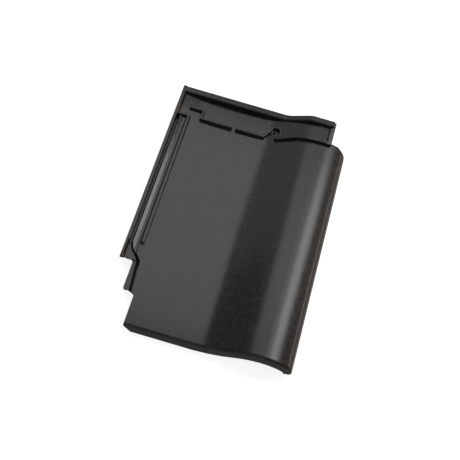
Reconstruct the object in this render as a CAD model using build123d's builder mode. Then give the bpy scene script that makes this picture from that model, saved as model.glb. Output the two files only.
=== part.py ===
from build123d import *
from math import atan2, cos, degrees, radians, sin
import os

os.makedirs("parts", exist_ok=True)

# Interlocking clay roof tile: X across the tile, Y from foot to head, Z up; lengths in mm
# Heights are measured from the flat of the pan; names ending in head are distances from the head edge

# Overall size
tile_length = 465.0
body_thickness = 12.0
overrun = 60.0

# Pan and roll, a chain of tangent arcs from left to right
pan_left = 29.0
pan_left_height = 0.6
pan_radius = 1500.0
pan_fall_angle = 2.48
pan_rise_angle = 1.87
valley_radius = 175.0
valley_angle = 18.63
crest_radius = 132.0
crest_angle = 20.5
shoulder_radius = 84.0
shoulder_angle = 25.0
flank_radius = 14.0
flank_angle = 53.0
flank_length = 8.5
lip_round = 4.4

# Side interlock on the left edge
interlock_bottom = 13.0
rim_height = 4.0
rim_batter = 0.8
rim_right = 5.4
channel_left = 6.6
channel_right = 9.2
channel_depth = 6.0
ridge_left = 10.8
ridge_height = 1.0
strip_left = 16.8
strip_right = 21.4
strip_depth = 1.5
bead_left = 23.0
bead_right = 26.6
bead_height = 3.0
interlock_round = 1.0

# Stepped lower left corner in plan, bevelled below its edge
rim_low = 109.0
rim_slope = 1.0
ledge_left = 20.8
ledge_low = 57.6
ledge_turn = 33.0
ledge_turn_low = 56.0
lower_left = 39.4
lower_end = 52.5
edge_depth = 3.5
bevel_angle = 45.0
bevel_depth = 14.0
step_round = 4.0

# Water channel from the interlock over the shelf, and its sloped mouth past the ledge
shelf_draft_angle = 22.0
channel_end = 137.5
ridge_end_right = 12.4
ridge_end = 129.7
shelf_right = 22.8
shelf_end = 116.8
shelf_low = 115.0
mouth_top_x = 31.3
mouth_top_y = 112.0
mouth_low_x = 35.6
mouth_slope_width = 6.0
mouth_floor_width = 2.4
mouth_rim_width = 0.8
ledge_rim_depth = 3.0
foot_rim_depth = 1.2
bead_low = 138.0
bead_ramp = 5.0

# Head rib and the closed corner beside it
head_rib_depth = 12.0
head_rib_bottom = 8.0
head_rib_round = 2.0
head_ramp_left = 182.0
head_ramp_right = 219.5
head_neck_height = 20.6
head_neck_right = 259.0
head_ramp_round = 30.0
corner_head = 61.0
corner_height = -0.6
corner_left = 2.4
corner_rim_foot = 9.4
corner_foot = 56.0
pocket_rib_height = 2.4
pocket_rib_width = 4.4
pocket_rib_round = 1.2

# Head floor and neck, sunk below the pan and the roll
head_floor_drop = 4.0
neck_right = 262.0
neck_rim_left = 252.6
neck_rim_drop = 1.4
neck_rim_slope = 2.4
roll_head = 44.8
roll_corner_x = 16.0
roll_corner_y = 10.2
roll_end_round = 3.5

# Front rib with its notch, drain gap and the arch around the nail hole
rib_half_width = 3.4
rib_draft_angle = 8.0
rib_height = 5.0
rib_base = 6.5
rib_round = 1.2
rib_head = 60.2
notch_head = 42.4
notch_left = 24.0
notch_right = 45.6
gap_left = 97.0
gap_right = 106.8
rib_right = 151.0
arch_x = 169.2
arch_head = 41.2
arch_radius = 7.8
arch_leg = 12.0
neck_rib_width = 5.6
neck_rib_rise = 5.0
neck_rib_head = 51.0
neck_rib_left = 172.0
neck_rib_left_head = 58.5
neck_rib_turn = 204.0

# Nail hole on a low boss inside the arch
nail_x = 167.4
nail_head = 43.4
nail_radius = 2.75
boss_radius = 5.2
boss_height = -0.6

# Underside: nose, foot rib, flap rib, bearing pad and nibs
nose_drop = 2.8
nose_depth = 15.4
nose_length = 13.0
nose_flat_left = 62.0
nose_flat_right = 146.0
nose_right = 277.0
nose_round = 4.0
nose_flat_depth = 0.4
foot_rib_line = 40.0
foot_rib_width = 6.0
foot_rib_depth = 15.0
flap_rib_left = 261.0
flap_rib_width = 5.0
flap_rib_depth = 2.0
pad_head = 60.0
pad_right = 197.0
pad_depth = 13.0
nib_depth = 30.0
nib_surplus = 3.0
nib_width = 30.0
nib_head = 29.0
nib_foot = 9.0
nib_root = 17.0
nib_left = 74.0
nib_right = 180.0


def across(y):
    return Plane(origin=(0, y, 0), x_dir=(1, 0, 0), z_dir=(0, -1, 0))


def from_head(depth):
    return tile_length - depth


# Cross section with its left interlock, drawn at the head and run to the foot
with BuildSketch(across(tile_length)) as section:
    with BuildLine():
        pan = JernArc(
            (pan_left, pan_left_height),
            (cos(radians(pan_fall_angle)), -sin(radians(pan_fall_angle))),
            pan_radius,
            pan_fall_angle + pan_rise_angle,
        )
        valley = JernArc(pan @ 1, pan % 1, valley_radius, valley_angle)
        crest = JernArc(valley @ 1, valley % 1, crest_radius, -crest_angle)
        shoulder = JernArc(crest @ 1, crest % 1, shoulder_radius, -shoulder_angle)
        flank = JernArc(shoulder @ 1, shoulder % 1, flank_radius, -flank_angle)
        edge = Line(flank @ 1, flank @ 1 + (flank % 1) * flank_length)
        inward = Vector((edge % 1).Y, -(edge % 1).X) * body_thickness
        lip = Line(edge @ 1, edge @ 1 + inward)
        inner_edge = Line(lip @ 1, flank @ 1 + inward)
        inner_flank = JernArc(
            inner_edge @ 1, inner_edge % 1, flank_radius - body_thickness, flank_angle
        )
        inner_shoulder = JernArc(
            inner_flank @ 1, inner_flank % 1, shoulder_radius - body_thickness, shoulder_angle
        )
        inner_crest = JernArc(
            inner_shoulder @ 1, inner_shoulder % 1, crest_radius - body_thickness, crest_angle
        )
        inner_valley = JernArc(
            inner_crest @ 1, inner_crest % 1, valley_radius + body_thickness, -valley_angle
        )
        inner_pan = JernArc(
            inner_valley @ 1,
            inner_valley % 1,
            pan_radius + body_thickness,
            -pan_fall_angle - pan_rise_angle,
        )
        Polyline(
            inner_pan @ 1,
            (pan_left, -interlock_bottom),
            (rim_batter, -interlock_bottom),
            (0, 0),
            (rim_batter, rim_height),
            (rim_right, rim_height),
            (channel_left, -channel_depth),
            (channel_right, -channel_depth),
            (ridge_left, ridge_height),
            (strip_left, -strip_depth),
            (strip_right, -strip_depth),
            (bead_left, bead_height),
            (bead_right, bead_height),
            pan @ 0,
        )
    make_face()
    fillet(section.vertices().filter_by_position(Axis.X, 0, bead_right), radius=interlock_round)
    fillet(section.vertices().group_by(Axis.X)[-1], radius=lip_round)
roll_right = (edge @ 1).X

# Space above the head floor and the neck, with the line across the tile where it starts
with BuildPart() as head_space:
    with BuildSketch(across(tile_length + overrun)):
        with BuildLine():
            add(pan.moved(Location((0, -head_floor_drop, 0))))
            add(valley.moved(Location((0, -head_floor_drop, 0))))
            add(crest.moved(Location((0, -head_floor_drop, 0))))
            add(shoulder.moved(Location((0, -head_floor_drop, 0))))
            Polyline(
                shoulder @ 1 - (0, head_floor_drop),
                shoulder @ 1 + (0, overrun),
                (channel_left, overrun),
                (channel_left, pan_left_height - head_floor_drop),
                pan @ 0 - (0, head_floor_drop),
            )
        make_face()
    extrude(amount=tile_length)
    with BuildSketch(Plane.XY.offset(-overrun)):
        with BuildLine():
            Polyline(
                (0, from_head(rib_head)),
                (pan_left, from_head(rib_head)),
                (pan_left, from_head(notch_head)),
                (notch_right, from_head(notch_head)),
                (notch_right, from_head(rib_head)),
                (neck_rib_left, from_head(neck_rib_left_head)),
                (neck_rib_turn, from_head(neck_rib_head)),
                (neck_right, from_head(neck_rib_head)),
                (neck_right, tile_length + overrun),
                (0, tile_length + overrun),
                close=True,
            )
        make_face()
    extrude(amount=overrun + overrun, mode=Mode.INTERSECT)

# Plan outline, upright above the edge depth and bevelled below it
with BuildPart() as outline:
    with BuildSketch(Plane.XY.offset(-edge_depth)) as plan:
        with BuildLine():
            Polyline(
                (-overrun, rim_low),
                (0, rim_low),
                (ledge_left, rim_low + rim_slope),
                (ledge_left, ledge_low),
                (ledge_turn, ledge_turn_low),
                (lower_left, lower_end),
                (lower_left, -overrun),
                (roll_right + overrun, -overrun),
                (roll_right + overrun, tile_length + overrun),
                (-overrun, tile_length + overrun),
                close=True,
            )
        make_face()
        steps = plan.vertices().filter_by_position(Axis.X, ledge_left, lower_left)
        fillet(steps.filter_by(lambda v: v.Y > 0), radius=step_round)
    extrude(amount=overrun)
    extrude(to_extrude=plan.sketch, amount=-bevel_depth, taper=bevel_angle)

# Head rib across the top edge, stepping up over the neck
with BuildPart() as head_rib:
    with BuildSketch(across(tile_length)) as rib_profile:
        with BuildLine():
            Polyline(
                (rim_batter, -head_rib_bottom),
                (rim_batter, rim_height),
                (head_ramp_left, rim_height),
                (head_ramp_right, head_neck_height),
                (head_neck_right, head_neck_height),
                (head_neck_right, head_rib_bottom),
                (head_ramp_right, head_rib_bottom),
                (head_ramp_left, -head_rib_bottom),
                close=True,
            )
        make_face()
        kinks = rib_profile.vertices().filter_by_position(Axis.X, head_ramp_left, head_ramp_right)
        fillet(kinks, radius=head_ramp_round)
    extrude(amount=head_rib_depth)
    rib_tops = head_rib.faces().filter_by(lambda f: f.normal_at().Z > 0)
    long_edges = rib_tops.edges().filter_by(lambda e: abs((e % 0).Y) < abs((e % 0).X))
    fillet(long_edges, radius=head_rib_round)

# Front rib with rounded ends
with BuildPart() as front_rib:
    with BuildSketch(Plane.XY.offset(-rib_base)):
        with BuildLine():
            Polyline(
                (notch_left, from_head(notch_head)),
                (notch_right, from_head(notch_head)),
                (notch_right, from_head(rib_head)),
                (gap_left, from_head(rib_head)),
            )
            offset(amount=rib_half_width, side=Side.BOTH)
        make_face()
        with BuildLine():
            bar = Polyline(
                (gap_right, from_head(rib_head)),
                (rib_right, from_head(rib_head)),
                (arch_x - arch_radius, from_head(arch_head)),
            )
            arch = ThreePointArc(
                bar @ 1,
                (arch_x, from_head(arch_head) + arch_radius),
                (arch_x + arch_radius, from_head(arch_head)),
            )
            Line(arch @ 1, arch @ 1 - (0, arch_leg))
            offset(amount=rib_half_width, side=Side.BOTH)
        make_face()
    extrude(amount=rib_base + rib_height, taper=rib_draft_angle)
    fillet(front_rib.faces().sort_by(Axis.Z)[-2:].edges(), radius=rib_round)

# Rib over the shoulder of the neck, following the roll
with BuildPart() as neck_rib:
    with BuildSketch(across(tile_length)):
        add(section.sketch_local.moved(Location((0, neck_rib_rise, 0))))
    extrude(amount=tile_length)
    with BuildSketch(Plane.XY.offset(-overrun)):
        with BuildLine():
            Polyline(
                (neck_rib_left, from_head(neck_rib_left_head)),
                (neck_rib_turn, from_head(neck_rib_head)),
                (neck_right - neck_rib_width / 2, from_head(neck_rib_head)),
            )
            offset(amount=neck_rib_width / 2, side=Side.BOTH)
        make_face()
    extrude(amount=overrun + overrun, mode=Mode.INTERSECT)

# Low rim along the right edge of the neck
with BuildPart() as neck_rim:
    with BuildSketch(across(tile_length)):
        add(section.sketch_local)
        add(section.sketch_local.moved(Location((0, -neck_rim_drop, 0))), mode=Mode.INTERSECT)
    extrude(amount=neck_rib_head)
    with BuildSketch(Plane.XY.offset(-overrun)):
        with Locations(((neck_rim_left + neck_right) / 2, tile_length - neck_rib_head / 2)):
            Rectangle(neck_right - neck_rim_left, neck_rib_head)
    extrude(amount=overrun + overrun, mode=Mode.INTERSECT)
    rim_lines = neck_rim.edges().filter_by(Axis.Y).group_by(Axis.X)[0]
    chamfer(rim_lines.sort_by(Axis.Z)[-1], length=neck_rim_slope)

with BuildPart() as flat_tile:
    # Body up to the end of the roll, with its cut corner and rounded end
    with BuildSketch(across(from_head(roll_head))):
        add(section.sketch_local)
    extrude(amount=from_head(roll_head))
    with BuildSketch(Plane.XY.offset(-overrun)):
        with BuildLine():
            Polyline(
                (roll_right - roll_corner_x, from_head(roll_head)),
                (roll_right, from_head(roll_head) - roll_corner_y),
                (roll_right + roll_corner_x, from_head(roll_head)),
                close=True,
            )
        make_face()
    extrude(amount=overrun + overrun, mode=Mode.SUBTRACT)
    roll_end = flat_tile.faces().filter_by(lambda f: f.normal_at().Y > abs(f.normal_at().Z))
    roll_tops = roll_end.edges().filter_by(Axis.Z, reverse=True)
    roll_tops = roll_tops.filter_by(lambda e: (e @ 0.5).X > neck_rim_left)
    roll_tops = roll_tops.filter_by(
        lambda e: any(f.is_inside(e @ 0.5 - (0, 0, rim_batter)) for f in roll_end)
    )
    fillet(roll_tops, radius=roll_end_round)

    # Neck and head, narrower than the roll, and the stepped corner at the lower left
    with BuildSketch(across(tile_length)):
        add(section.sketch_local)
        with BuildLine():
            Polyline(
                (0, -overrun),
                (neck_right, -overrun),
                (neck_right, overrun),
                (0, overrun),
                close=True,
            )
        make_face(mode=Mode.INTERSECT)
    extrude(amount=roll_head + roll_end_round + roll_end_round)
    add(outline.part, mode=Mode.INTERSECT)

    # Rounded edges of the foot
    foot = flat_tile.faces().sort_by(Axis.Y)[0]
    foot_tops = foot.edges().filter_by(lambda e: foot.is_inside(e @ 0.5 - (0, 0, rim_batter)))
    foot_tops = foot_tops.filter_by(lambda e: (e @ 0.5).X > lower_left + edge_depth)
    fillet(foot_tops, radius=nose_round)

    # Nose along the foot, flat below the pan so that the tile stands on it
    with BuildSketch(across(nose_length)):
        add(section.sketch_local.moved(Location((0, -nose_drop, 0))))
        with BuildLine():
            Polyline(
                (lower_left, -overrun),
                (nose_right, -overrun),
                (nose_right, overrun),
                (lower_left, overrun),
                close=True,
            )
        make_face(mode=Mode.INTERSECT)
        add(section.sketch_local.moved(Location((0, body_thickness / 2, 0))), mode=Mode.SUBTRACT)
        with BuildLine():
            Polyline(
                (nose_flat_left, -nose_depth),
                (nose_flat_right, -nose_depth),
                (nose_flat_right, -body_thickness),
                (nose_flat_left, -body_thickness),
                close=True,
            )
        make_face()
    extrude(amount=nose_length)
    add(outline.part, mode=Mode.INTERSECT)

    # Bearing pad under the head
    with BuildSketch(Plane.XY.offset(-pad_depth)):
        with Locations(((bead_left + pad_right) / 2, tile_length - pad_head / 2)):
            Rectangle(pad_right - bead_left, pad_head)
    extrude(amount=pad_depth - head_floor_drop)
    add(head_space.part, mode=Mode.SUBTRACT)

    # Corner at the head left, closed to the level of the pan below the notch and falling to the head floor
    with BuildSketch(across(from_head(notch_head))):
        with BuildLine():
            Polyline(
                (corner_left, -body_thickness / 2),
                (corner_left, rim_height),
                (rim_right, rim_height),
                (corner_rim_foot, pan_left_height),
                (pan_left, pan_left_height),
                (pan_left, -body_thickness / 2),
                close=True,
            )
        make_face()
    extrude(amount=corner_head - notch_head)
    with BuildSketch(across(tile_length)):
        with BuildLine():
            Polyline(
                (corner_left, -body_thickness / 2),
                (corner_left, rim_height),
                (rim_right, rim_height),
                (corner_rim_foot, corner_height),
                (corner_foot, -body_thickness / 2),
                close=True,
            )
        make_face()
    extrude(amount=notch_head)

    # Low rib over the end of the side channel
    with BuildSketch(Plane.YZ.offset(corner_left)) as pocket_rib:
        with BuildLine():
            Polyline(
                (from_head(corner_head), -body_thickness / 2),
                (from_head(corner_head), pocket_rib_height),
                (from_head(corner_head) + pocket_rib_width, pocket_rib_height),
                (from_head(corner_head) + pocket_rib_width, -body_thickness / 2),
                close=True,
            )
        make_face()
        fillet(pocket_rib.vertices().group_by(Axis.Z)[-1], radius=pocket_rib_round)
    extrude(amount=bead_right - corner_left)

    # Water channel: a shelf off the end of the interlock, and a mouth with a sloped side past the ledge
    with BuildSketch(Plane.XY.offset(-channel_depth)):
        with BuildLine():
            Polyline(
                ((channel_left + channel_right) / 2, channel_end),
                (channel_right, channel_end),
                (ridge_end_right, ridge_end),
                (shelf_right, shelf_end),
                (mouth_top_x - mouth_slope_width, mouth_top_y),
                (mouth_top_x - mouth_slope_width - mouth_floor_width, mouth_top_y),
                (ledge_left, shelf_low),
                ((channel_left + channel_right) / 2, shelf_low),
                close=True,
            )
        make_face()
    extrude(amount=overrun, taper=-shelf_draft_angle, mode=Mode.SUBTRACT)
    mouth_run = Vector(mouth_low_x - mouth_top_x, ledge_low - mouth_top_y, 0)
    mouth_across = Vector(-mouth_run.Y, mouth_run.X, 0)
    with BuildSketch(Plane(origin=(mouth_top_x, mouth_top_y, 0), x_dir=mouth_across, z_dir=mouth_run)):
        with BuildLine():
            Polyline(
                (0, pan_left_height),
                (-mouth_slope_width, -channel_depth),
                (-mouth_slope_width - mouth_floor_width, -channel_depth),
                (-mouth_slope_width - mouth_floor_width - mouth_rim_width, -ledge_rim_depth),
                (-mouth_slope_width - mouth_floor_width - mouth_rim_width, overrun),
                (0, overrun),
                close=True,
            )
        make_face()
    extrude(amount=mouth_run.length + ledge_low - lower_end + step_round, mode=Mode.SUBTRACT)

    # Ledge rim, foot rim and the sloped end of the bead
    with BuildSketch(Plane.XY.offset(-ledge_rim_depth)):
        with BuildLine():
            Polyline(
                (0, 0),
                (mouth_low_x - mouth_slope_width, 0),
                (mouth_top_x - mouth_slope_width, rim_low + rim_slope),
                (ledge_left, rim_low + rim_slope),
                (0, rim_low),
                close=True,
            )
        make_face()
    extrude(amount=overrun, mode=Mode.SUBTRACT)
    with BuildSketch(Plane.XY.offset(-foot_rim_depth)):
        with BuildLine():
            Polyline(
                (channel_left, rim_low),
                (shelf_right, rim_low),
                (shelf_right, shelf_low),
                (channel_left, shelf_low),
                close=True,
            )
        make_face()
    extrude(amount=overrun, mode=Mode.SUBTRACT)
    with BuildSketch(Plane.YZ.offset(strip_right)):
        with BuildLine():
            Polyline(
                (shelf_low, pan_left_height),
                (bead_low, pan_left_height),
                (bead_low + bead_ramp, bead_height),
                (bead_low + bead_ramp, overrun),
                (shelf_low, overrun),
                close=True,
            )
        make_face()
    extrude(amount=pan_left - strip_right, mode=Mode.SUBTRACT)

    add(head_rib.part)
    add(front_rib.part)
    add(neck_rib.part)
    add(neck_rim.part)

    # Nail hole on its boss
    with BuildSketch(Plane.XY.offset(-rib_base)):
        with Locations((nail_x, from_head(nail_head))):
            Circle(boss_radius)
    extrude(amount=rib_base + boss_height)
    with Locations((nail_x, from_head(nail_head), 0)):
        Cylinder(nail_radius, overrun, mode=Mode.SUBTRACT)

    # Ribs of the underside: behind the nose and under the roll
    with BuildSketch(Plane.XY.offset(-foot_rib_depth)):
        with Locations(((nose_flat_left + nose_flat_right) / 2, foot_rib_line)):
            Rectangle(nose_flat_right - nose_flat_left, foot_rib_width)
    extrude(amount=foot_rib_depth - body_thickness / 2)
    with BuildSketch(Plane.XY.offset(-flap_rib_depth)):
        with Locations((flap_rib_left + flap_rib_width / 2, (nose_length + from_head(pad_head)) / 2)):
            Rectangle(flap_rib_width, from_head(pad_head) - nose_length)
    extrude(amount=flap_rib_depth + body_thickness / 2)

    # Two hanging nibs, their foot sides square to the tile to bear on the batten
    with BuildSketch(Plane.YZ.offset(nib_left - nib_width / 2)) as nib:
        with BuildLine():
            Polyline(
                (from_head(nib_head), -body_thickness),
                (from_head(nib_head), -nib_depth - nib_surplus),
                (from_head(nib_head) + nib_foot, -nib_depth - nib_surplus),
                (from_head(nib_head) + nib_root, -body_thickness),
                close=True,
            )
        make_face()
    extrude(amount=nib_width)
    with BuildSketch(Plane.YZ.offset(nib_right - nib_width / 2)):
        add(nib.sketch_local)
    extrude(amount=nib_width)

# Placed as it lies on a floor, on its nose and nibs, about the middle of its box
rest_run = from_head(nib_head) + nib_foot / 2 - nose_length / 2
rest_angle = degrees(atan2(nib_depth - nose_depth, rest_run))
lying = Rot(X=rest_angle) * Pos(0, 0, nose_depth - nose_flat_depth) * flat_tile.part
lying_box = lying.bounding_box()
with BuildPart() as roof_tile:
    add(Pos(-lying_box.center().X, -lying_box.center().Y, 0) * lying)
    with Locations((0, 0, -overrun / 2)):
        Box(tile_length, tile_length + overrun, overrun, mode=Mode.SUBTRACT)
roof_tile.part.label = "roof_tile"
export_step(roof_tile.part, "parts/roof_tile.step")
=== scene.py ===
"""Looks and studio for the clay roof tile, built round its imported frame. Lengths are in metres."""

import math

import bpy
from mathutils import Matrix, Quaternion, Vector

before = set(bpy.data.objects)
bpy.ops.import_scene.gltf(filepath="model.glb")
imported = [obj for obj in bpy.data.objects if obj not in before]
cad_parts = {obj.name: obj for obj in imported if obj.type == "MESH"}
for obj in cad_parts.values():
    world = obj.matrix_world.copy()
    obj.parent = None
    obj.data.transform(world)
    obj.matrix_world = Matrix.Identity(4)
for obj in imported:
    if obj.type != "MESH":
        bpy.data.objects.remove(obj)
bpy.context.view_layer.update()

# Camera, from the photograph's perspective, with its lens and sensor in millimetres
CAMERA_AIM = Vector((0.0004, -0.0212, 0.020))
CAMERA_DISTANCE = 1.660
CAMERA_AZIMUTH = math.radians(2.13)
CAMERA_ELEVATION = math.radians(52.80)
CAMERA_ROLL = math.radians(14.64)
CAMERA_LENS = 84.75
SENSOR_WIDTH = 36.0

# Coat and body colours
ENGOBE_COLOUR = (0.0190, 0.0180, 0.0170)
ENGOBE_WARM_COLOUR = (0.0260, 0.0215, 0.0180)
ENGOBE_PALE_COLOUR = (0.0340, 0.0325, 0.0310)
# Painted light: a lighter, warmer coat colour for faces that look to the right
ENGOBE_PAINTED_LIGHT_COLOUR = (0.048, 0.030, 0.018)
CLAY_COLOUR = (0.36, 0.135, 0.062)
CLAY_DARK_COLOUR = (0.20, 0.075, 0.036)

# Noise in the coat and the clay, from coarse to fine
CLOUD_NOISE = {"Scale": 14.0, "Detail": 3.0, "Roughness": 0.55}
MOTTLE_NOISE = {"Scale": 160.0, "Detail": 4.0, "Roughness": 0.55}
GRAIN_NOISE = {"Scale": 900.0, "Detail": 2.0, "Roughness": 0.55}

# Noise values over which one colour passes into the next
WARM_SPAN = (0.40, 0.68)
PALE_SPAN = (0.38, 0.66)
CLAY_DARK_SPAN = (0.32, 0.70)

# The normal's X over which the painted light on right-facing faces comes in, the normal's Z over
# which the coat ends, and how far the mottle shifts both
PAINTED_LIGHT_SPAN = (0.22, 0.58)
BARE_SPAN = (-0.20, -0.62)
COAT_EDGE_AND_PAINTED_LIGHT_SHIFT = 0.5

# Roughness: the coat's by its mottle, what the roll adds to it by place in X, and the clay's
SATIN_SPAN = (0.25, 0.75)
SATIN_ROUGHNESS = (0.12, 0.17)
ROLL_SPAN = (0.055, 0.100)
ROLL_ROUGHNESS = (0.0, 0.10)
CLAY_ROUGHNESS = 0.85
TILE_IOR = 1.5

# Bump from the mottle and from the grain
RIPPLE_BUMP = {"Strength": 0.10, "Distance": 0.0004}
PIT_BUMP = {"Strength": 0.06, "Distance": 0.0002}

# White floor and room: glow for the camera, light for other rays, and sheen added in reflections
WHITE = (1.0, 1.0, 1.0)
FLOOR_SIZE = 12.0
FLOOR_COLOUR = (0.86, 0.86, 0.86)
FLOOR_GLOW = 0.82
FLOOR_SHEEN = 0.12
ROOM_GLOW = 1.0
ROOM_SHEEN = 0.02
ROOM_LIGHT = 0.15

# Soft boxes: direction from the tile, distance, width and height, radiance, and lean in degrees
SOFT_BOXES = {
    "back_panel": ((0.060, 0.522, 0.851), 2.4, (1.29, 0.90), 1.56, 0.0),
    "right_strip": ((0.383, 0.460, 0.801), 2.3, (0.55, 1.10), 5.0, 27.0),
    "right_fill": ((0.81, 0.46, 0.36), 2.6, (1.3, 0.8), 1.6, 0.0),
    "left_fill": ((-0.455, 0.736, 0.502), 2.8, (1.5, 2.3), 0.36, 37.0),
    "front_panel": ((0.0, -0.80, 0.60), 2.6, (2.4, 0.8), 0.55, 0.0),
}

# The Mix node's two inputs and its output for each kind, by number because their names are alike
MIX_SOCKETS = {"FLOAT": (2, 3, 0), "RGBA": (6, 7, 2)}


class Nodes:
    """Adds nodes to a tree. An input is given as the output that feeds it, a number or a colour."""

    def __init__(self, tree):
        self.tree = tree

    def feed(self, node, inputs):
        """Links or sets a node's inputs, which are named or numbered."""
        for key, value in inputs.items():
            socket = node.inputs[key]
            if isinstance(value, bpy.types.NodeSocket):
                self.tree.links.new(value, socket)
            elif socket.type == "RGBA":
                socket.default_value = (*value, 1.0)
            else:
                socket.default_value = value

    def add(self, kind, inputs, **settings):
        """Adds a node and gives its outputs."""
        node = self.tree.nodes.new(kind)
        for name, value in settings.items():
            setattr(node, name, value)
        self.feed(node, inputs)
        return node.outputs

    def noise(self, place, settings):
        return self.add("ShaderNodeTexNoise", {"Vector": place, **settings})["Fac"]

    def step(self, value, span, ends=(0.0, 1.0)):
        """Passes smoothly from the first end to the second while the value crosses the span."""
        limits = zip(("From Min", "From Max", "To Min", "To Max"), (*span, *ends))
        inputs = {"Value": value, **dict(limits)}
        return self.add("ShaderNodeMapRange", inputs, interpolation_type="SMOOTHSTEP")["Result"]

    def math(self, operation, *values):
        return self.add("ShaderNodeMath", dict(enumerate(values)), operation=operation)["Value"]

    def mix(self, kind, factor, first, second):
        start, end, result = MIX_SOCKETS[kind]
        inputs = {"Factor": factor, start: first, end: second}
        return self.add("ShaderNodeMix", inputs, data_type=kind)[result]

    def split(self, vector):
        return self.add("ShaderNodeSeparateXYZ", {"Vector": vector})

    def background(self, glow, sheen, light=0.0):
        """The strength of a white floor or room, by kind of ray."""
        ray = self.add("ShaderNodeLightPath", {})
        straight = self.math("MAXIMUM", ray["Is Camera Ray"], ray["Is Transmission Ray"])
        direct = self.math("MAXIMUM", self.math("MULTIPLY", straight, glow), light)
        return self.math("MULTIPLY_ADD", ray["Is Glossy Ray"], sheen, direct)


def engobed_clay():
    """Satin black engobe with painted light on faces that look to the right, and bare fired clay on
    the faces that look down.
    """
    material = bpy.data.materials.new("engobed_clay")
    material.use_nodes = True
    nodes = Nodes(material.node_tree)
    place = nodes.add("ShaderNodeTexCoord", {})["Object"]
    cloud = nodes.noise(place, CLOUD_NOISE)
    mottle = nodes.noise(place, MOTTLE_NOISE)
    grain = nodes.noise(place, GRAIN_NOISE)

    # The coat is mottled, and faces that look to the right, such as the roll's flank, are painted
    # lighter and warmer as painted light
    normal = nodes.split(nodes.add("ShaderNodeNewGeometry", {})["Normal"])
    shift = nodes.math("MULTIPLY_ADD", mottle, COAT_EDGE_AND_PAINTED_LIGHT_SHIFT, -COAT_EDGE_AND_PAINTED_LIGHT_SHIFT / 2)
    # Painted light: a mask for faces that look to the right
    painted_light = nodes.step(nodes.math("ADD", normal["X"], shift), PAINTED_LIGHT_SPAN)
    bare = nodes.step(nodes.math("ADD", normal["Z"], shift), BARE_SPAN)
    engobe = nodes.mix("RGBA", nodes.step(cloud, WARM_SPAN), ENGOBE_COLOUR, ENGOBE_WARM_COLOUR)
    engobe = nodes.mix("RGBA", nodes.step(mottle, PALE_SPAN), engobe, ENGOBE_PALE_COLOUR)
    # Painted light: faces that look to the right are tinted lighter and warmer
    engobe = nodes.mix("RGBA", painted_light, engobe, ENGOBE_PAINTED_LIGHT_COLOUR)
    clay = nodes.mix("RGBA", nodes.step(mottle, CLAY_DARK_SPAN), CLAY_COLOUR, CLAY_DARK_COLOUR)

    # The roll is a little duller than the pan
    satin = nodes.step(mottle, SATIN_SPAN, SATIN_ROUGHNESS)
    dulling = nodes.step(nodes.split(place)["X"], ROLL_SPAN, ROLL_ROUGHNESS)
    coat_roughness = nodes.math("ADD", satin, dulling)

    ripple = nodes.add("ShaderNodeBump", {"Height": mottle, **RIPPLE_BUMP})["Normal"]
    pits = nodes.add("ShaderNodeBump", {"Height": grain, "Normal": ripple, **PIT_BUMP})["Normal"]
    surface = {
        "Base Color": nodes.mix("RGBA", bare, engobe, clay),
        "Roughness": nodes.mix("FLOAT", bare, coat_roughness, CLAY_ROUGHNESS),
        "IOR": TILE_IOR,
        "Normal": pits,
    }
    nodes.feed(nodes.tree.nodes["Principled BSDF"], surface)
    return material


def dress_tile(tile):
    """Coats the tile."""
    tile.data.materials.clear()
    tile.data.materials.append(engobed_clay())


def floor_white():
    """A matte white with a glow for the camera and a fainter one in reflections."""
    material = bpy.data.materials.new("floor_white")
    material.use_nodes = True
    nodes = Nodes(material.node_tree)
    nodes.tree.nodes.remove(nodes.tree.nodes["Principled BSDF"])
    strength = nodes.background(FLOOR_GLOW, FLOOR_SHEEN)
    glow = nodes.add("ShaderNodeEmission", {"Strength": strength})["Emission"]
    matte = nodes.add("ShaderNodeBsdfDiffuse", {"Color": FLOOR_COLOUR})["BSDF"]
    both = nodes.add("ShaderNodeAddShader", {0: matte, 1: glow})["Shader"]
    nodes.feed(nodes.tree.nodes["Material Output"], {"Surface": both})
    return material


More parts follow.
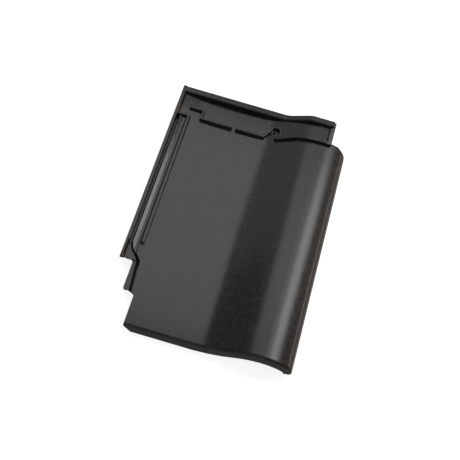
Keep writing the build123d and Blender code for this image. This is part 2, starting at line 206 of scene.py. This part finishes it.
def make_floor():
    """A flat white floor that keeps the tile's shadow."""
    bpy.ops.mesh.primitive_plane_add(size=FLOOR_SIZE)
    floor = bpy.context.object
    floor.name = "floor"
    floor.data.materials.append(floor_white())


def soft_box(name, direction, distance, size, radiance, lean):
    """A rectangular lamp that faces the tile, leaning about the line between them."""
    light = bpy.data.lights.new(name, "AREA")
    light.shape = "RECTANGLE"
    light.size, light.size_y = size
    light.energy = radiance * math.pi * size[0] * size[1]
    lamp = bpy.data.objects.new(name, light)
    lamp.location = Vector(direction).normalized() * distance
    facing = (-lamp.location).to_track_quat("-Z", "Y")
    leaning = Quaternion((0.0, 0.0, 1.0), math.radians(lean))
    lamp.rotation_euler = (facing @ leaning).to_euler()
    bpy.context.scene.collection.objects.link(lamp)


def make_lights():
    """A grey panel behind the head, a bright strip to its right, and three fills."""
    for name, settings in SOFT_BOXES.items():
        soft_box(name, *settings)


def make_room():
    """A room that is white to the camera, and dim as a light and in reflections."""
    world = bpy.data.worlds.new("room")
    world.use_nodes = True
    nodes = Nodes(world.node_tree)
    strength = nodes.background(ROOM_GLOW, ROOM_SHEEN, ROOM_LIGHT)
    nodes.feed(nodes.tree.nodes["Background"], {"Color": WHITE, "Strength": strength})
    bpy.context.scene.world = world


def make_camera():
    """A camera at the photograph's viewing angle."""
    level = math.cos(CAMERA_ELEVATION)
    outward = Vector(
        (
            math.sin(CAMERA_AZIMUTH) * level,
            -math.cos(CAMERA_AZIMUTH) * level,
            math.sin(CAMERA_ELEVATION),
        )
    )
    camera = bpy.data.objects.new("camera", bpy.data.cameras.new("camera"))
    camera.data.lens = CAMERA_LENS
    camera.data.sensor_width = SENSOR_WIDTH
    camera.data.sensor_fit = "HORIZONTAL"
    upright = (-outward).to_track_quat("-Z", "Y").to_matrix().to_4x4()
    place = Matrix.Translation(CAMERA_AIM + outward * CAMERA_DISTANCE)
    camera.matrix_world = place @ upright @ Matrix.Rotation(CAMERA_ROLL, 4, "Z")
    bpy.context.scene.collection.objects.link(camera)
    bpy.context.scene.camera = camera


dress_tile(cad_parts["roof_tile"])
make_floor()
make_lights()
make_room()
make_camera()
bpy.context.scene.view_settings.view_transform = "Standard"
